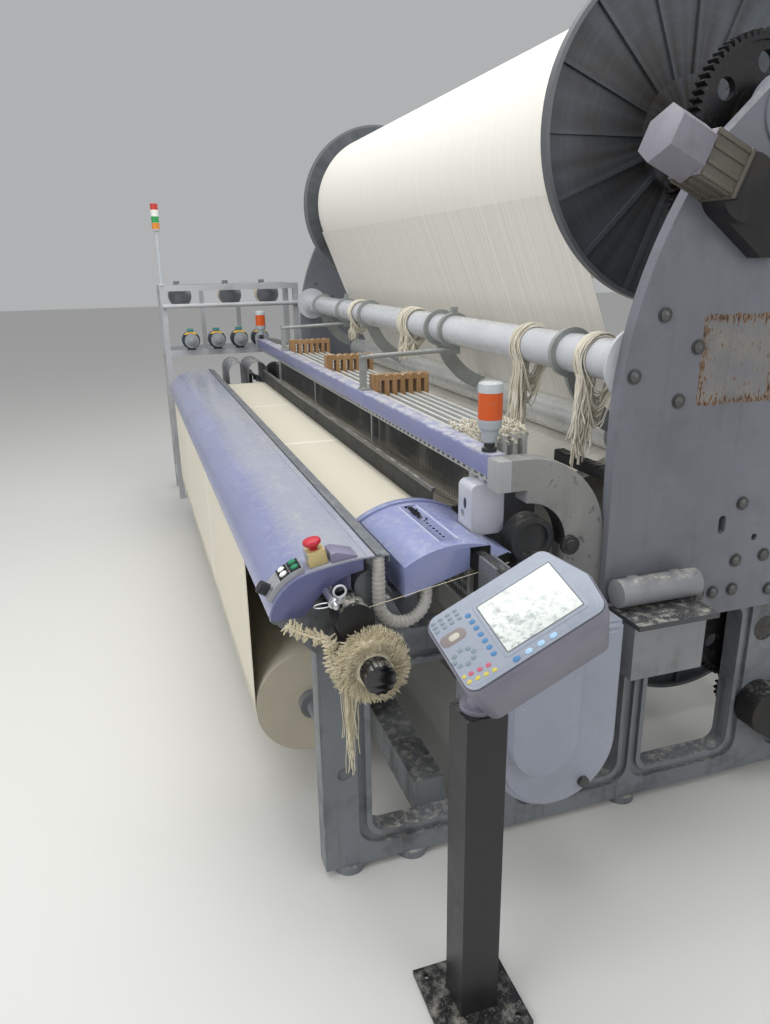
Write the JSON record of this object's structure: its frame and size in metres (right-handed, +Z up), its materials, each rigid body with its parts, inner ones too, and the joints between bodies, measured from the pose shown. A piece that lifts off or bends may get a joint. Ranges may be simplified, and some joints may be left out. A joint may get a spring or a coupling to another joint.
{
  "type": "power loom",
  "caption": "Terry weaving loom with two warp beams, heald frames, sley and reed, rapiers, take-up rolls, lavender covers, a feeder stand and an operator console on a post.",
  "frame": {"origin": "on the floor, at the middle of the whole object's outline seen from above", "axes": "+X along the width towards the weaver's right and the console, +Y from the cloth side to the warp beams, +Z up"},
  "size_m": [4.7116, 1.8926, 2.3178],
  "materials": {
    "frame_grey": "worn grey paint on cast iron",
    "plate_grey": "satin grey paint with stains",
    "bolt_steel": "dull",
    "tube_paint": "satin",
    "bracket_steel": "dull",
    "comb_wood": "plain",
    "yarn_white": "cotton",
    "lavender_paint": "satin",
    "arch_grey": "satin, spotted",
    "lamp_orange": "glossy",
    "end_paint": "satin",
    "galvanised": "galvanised",
    "strip_grey": "matt",
    "red_plastic": "glossy",
    "green_plastic": "glossy",
    "white_plastic": "glossy",
    "black_plastic": "matt",
    "lavender_plastic": "glossy",
    "hood_grey": "satin",
    "box_white": "glossy",
    "table_steel": "worn bright",
    "cloth_cream": "terry cloth",
    "roll_grip": "emery grip",
    "roll_steel": "turned",
    "sley_alu": "dull",
    "reed_steel": "fine wire",
    "heald_alu": "brushed",
    "guide_iron": "dark",
    "flange_alu": "dull cast",
    "warp_white": "cotton",
    "gear_iron": "greasy",
    "motor_grey": "dusty",
    "console_shell": "satin",
    "console_face": "satin",
    "post_black": "satin",
    "drive_pale": "glossy",
    "rapier_dark": "carbon tape",
    "waste_black": "glossy",
    "stand_white": "worn",
    "feeder_blue": "satin",
    "cone_cream": "yarn",
    "guard_pale": "worn",
    "hose_grey": "matt"
  },
  "bodies": {
    "root": {"side_frames": "frame_grey", "cross_beams": "frame_grey", "beam_plates": "plate_grey", "plate_bolts": "bolt_steel", "cross_tube": "tube_paint", "tube_brackets": "bracket_steel", "wooden_combs": "comb_wood", "yarn_hanks": "yarn_white", "harness_beam": "lavender_paint", "arch_covers": "arch_grey", "signal_lights": "lamp_orange", "front_cover": "lavender_paint", "cover_ends": "end_paint", "rear_strip": "galvanised", "control_strip": "strip_grey", "right_end_cover": "lavender_plastic", "left_end_cover": "hood_grey", "cutter_box": "box_white", "breast_table": "table_steel", "cloth": "cloth_cream", "frame_guides": "guide_iron", "let_off_drives": "motor_grey", "warp_sheets": "warp_white", "console_post": "post_black", "drive_covers": "drive_pale", "waste_bracket": "waste_black", "feeder_stand": "stand_white", "feeders": "feeder_blue", "yarn_cones": "cone_cream", "side_guard": "guard_pale", "suction_hose": "hose_grey"},
    "pile_beam": {"pile_beam": "flange_alu", "pile_warp": "warp_white"},
    "pile_pinion": {"pile_pinion": "gear_iron"},
    "ground_beam": {"ground_beam": "flange_alu", "ground_warp": "warp_white"},
    "ground_pinion": {"ground_pinion": "gear_iron"},
    "whip_roll": {"whip_roll": "roll_steel"},
    "back_roll": {"back_roll": "roll_steel"},
    "sley": {"sley": "sley_alu", "reed": "reed_steel"},
    "heald_1": {"heald_frame_1": "heald_alu"},
    "heald_2": {"heald_frame_2": "heald_alu"},
    "heald_3": {"heald_frame_3": "heald_alu"},
    "heald_4": {"heald_frame_4": "heald_alu"},
    "heald_5": {"heald_frame_5": "heald_alu"},
    "heald_6": {"heald_frame_6": "heald_alu"},
    "take_up": {"take_up_roll": "roll_grip"},
    "guide_roll": {"guide_roll": "roll_steel"},
    "cloth_roll": {"cloth_roll": "cloth_cream"},
    "right_rapier": {"right_rapier": "rapier_dark"},
    "left_rapier": {"left_rapier": "rapier_dark"},
    "waste_roller": {"waste_roller": "waste_black"},
    "console": {"console_housing": "console_shell", "console_panel": "console_face"},
    "estop": {"estop_button": "red_plastic"},
    "start": {"start_button": "green_plastic"},
    "jog": {"jog_button": "green_plastic"},
    "stop": {"stop_button": "white_plastic"},
    "mode_knob": {"mode_knob": "black_plastic"}
  },
  "joints": [
    {"name": "pile_beam_spin", "type": "hinge", "parent": "root", "child": "pile_beam", "pos_m": [0, 0.36, 1.868], "axis": [1, 0, 0], "continuous": true},
    {"name": "pile_pinion_spin", "type": "hinge", "parent": "root", "child": "pile_pinion", "pos_m": [0, 0.18304, 1.69711], "axis": [1, 0, 0], "continuous": true},
    {"name": "ground_beam_spin", "type": "hinge", "parent": "root", "child": "ground_beam", "pos_m": [0, 0.53, 0.5], "axis": [1, 0, 0], "continuous": true},
    {"name": "ground_pinion_spin", "type": "hinge", "parent": "root", "child": "ground_pinion", "pos_m": [0, 0.53, 0.254], "axis": [1, 0, 0], "continuous": true},
    {"name": "whip_roll_spin", "type": "hinge", "parent": "root", "child": "whip_roll", "pos_m": [0, 0.22, 1.04], "axis": [1, 0, 0], "continuous": true},
    {"name": "back_roll_spin", "type": "hinge", "parent": "root", "child": "back_roll", "pos_m": [0, 0.43, 0.93], "axis": [1, 0, 0], "continuous": true},
    {"name": "sley_swing", "type": "hinge", "parent": "root", "child": "sley", "pos_m": [0, -0.33, 0.38], "axis": [1, 0, 0], "range_deg": [-8, 0]},
    {"name": "heald_1_lift", "type": "slide", "parent": "root", "child": "heald_1", "axis": [0, 0, 1], "range_m": [-0.045, 0.045]},
    {"name": "heald_2_lift", "type": "slide", "parent": "root", "child": "heald_2", "axis": [0, 0, 1], "range_m": [-0.045, 0.045]},
    {"name": "heald_3_lift", "type": "slide", "parent": "root", "child": "heald_3", "axis": [0, 0, 1], "range_m": [-0.045, 0.045]},
    {"name": "heald_4_lift", "type": "slide", "parent": "root", "child": "heald_4", "axis": [0, 0, 1], "range_m": [-0.045, 0.045]},
    {"name": "heald_5_lift", "type": "slide", "parent": "root", "child": "heald_5", "axis": [0, 0, 1], "range_m": [-0.045, 0.045]},
    {"name": "heald_6_lift", "type": "slide", "parent": "root", "child": "heald_6", "axis": [0, 0, 1], "range_m": [-0.045, 0.045]},
    {"name": "cloth_roll_spin", "type": "hinge", "parent": "root", "child": "cloth_roll", "pos_m": [0, -0.77, 0.31], "axis": [1, 0, 0], "continuous": true},
    {"name": "take_up_spin", "type": "hinge", "parent": "root", "child": "take_up", "pos_m": [0, -0.77, 0.66], "axis": [1, 0, 0], "continuous": true},
    {"name": "guide_roll_spin", "type": "hinge", "parent": "root", "child": "guide_roll", "pos_m": [0, -0.915, 0.775], "axis": [1, 0, 0], "continuous": true},
    {"name": "right_rapier_slide", "type": "slide", "parent": "root", "child": "right_rapier", "axis": [-1, 0, 0], "range_m": [0, 1.395]},
    {"name": "left_rapier_slide", "type": "slide", "parent": "root", "child": "left_rapier", "axis": [1, 0, 0], "range_m": [0, 1.395]},
    {"name": "waste_roller_spin", "type": "hinge", "parent": "root", "child": "waste_roller", "pos_m": [0, -0.735, 0.69], "axis": [1, 0, 0], "continuous": true},
    {"name": "console_swivel", "type": "hinge", "parent": "root", "child": "console", "pos_m": [2.193, -0.615, 0.736], "axis": [0, 0, 1], "range_deg": [-40, 40]},
    {"name": "estop_press", "type": "slide", "parent": "root", "child": "estop", "axis": [0, 0.2048, -0.9788], "range_m": [0, 0.006]},
    {"name": "start_press", "type": "slide", "parent": "root", "child": "start", "axis": [0, 0.3746, -0.9272], "range_m": [0, 0.004], "stiffness_N_per_m": 400, "springref_m": -0.003},
    {"name": "jog_press", "type": "slide", "parent": "root", "child": "jog", "axis": [0, 0.3746, -0.9272], "range_m": [0, 0.004], "stiffness_N_per_m": 400, "springref_m": -0.003},
    {"name": "stop_press", "type": "slide", "parent": "root", "child": "stop", "axis": [0, 0.5592, -0.829], "range_m": [0, 0.004], "stiffness_N_per_m": 400, "springref_m": -0.003},
    {"name": "mode_knob_turn", "type": "hinge", "parent": "root", "child": "mode_knob", "pos_m": [1.748, -0.92363, 0.83752], "axis": [0, -0.829, 0.5592], "range_deg": [-45, 45]}
  ],
  "couplings": [
    {"joint": "pile_pinion_spin", "follows": "pile_beam_spin", "ratio": -3.5556},
    {"joint": "ground_pinion_spin", "follows": "ground_beam_spin", "ratio": -3.5556},
    {"joint": "whip_roll_spin", "follows": "pile_beam_spin", "ratio": -6.877},
    {"joint": "back_roll_spin", "follows": "ground_beam_spin", "ratio": 5.1459},
    {"joint": "take_up_spin", "follows": "cloth_roll_spin", "ratio": -2.3514},
    {"joint": "guide_roll_spin", "follows": "cloth_roll_spin", "ratio": 8.1429},
    {"joint": "left_rapier_slide", "follows": "right_rapier_slide", "ratio": 1}
  ]
}
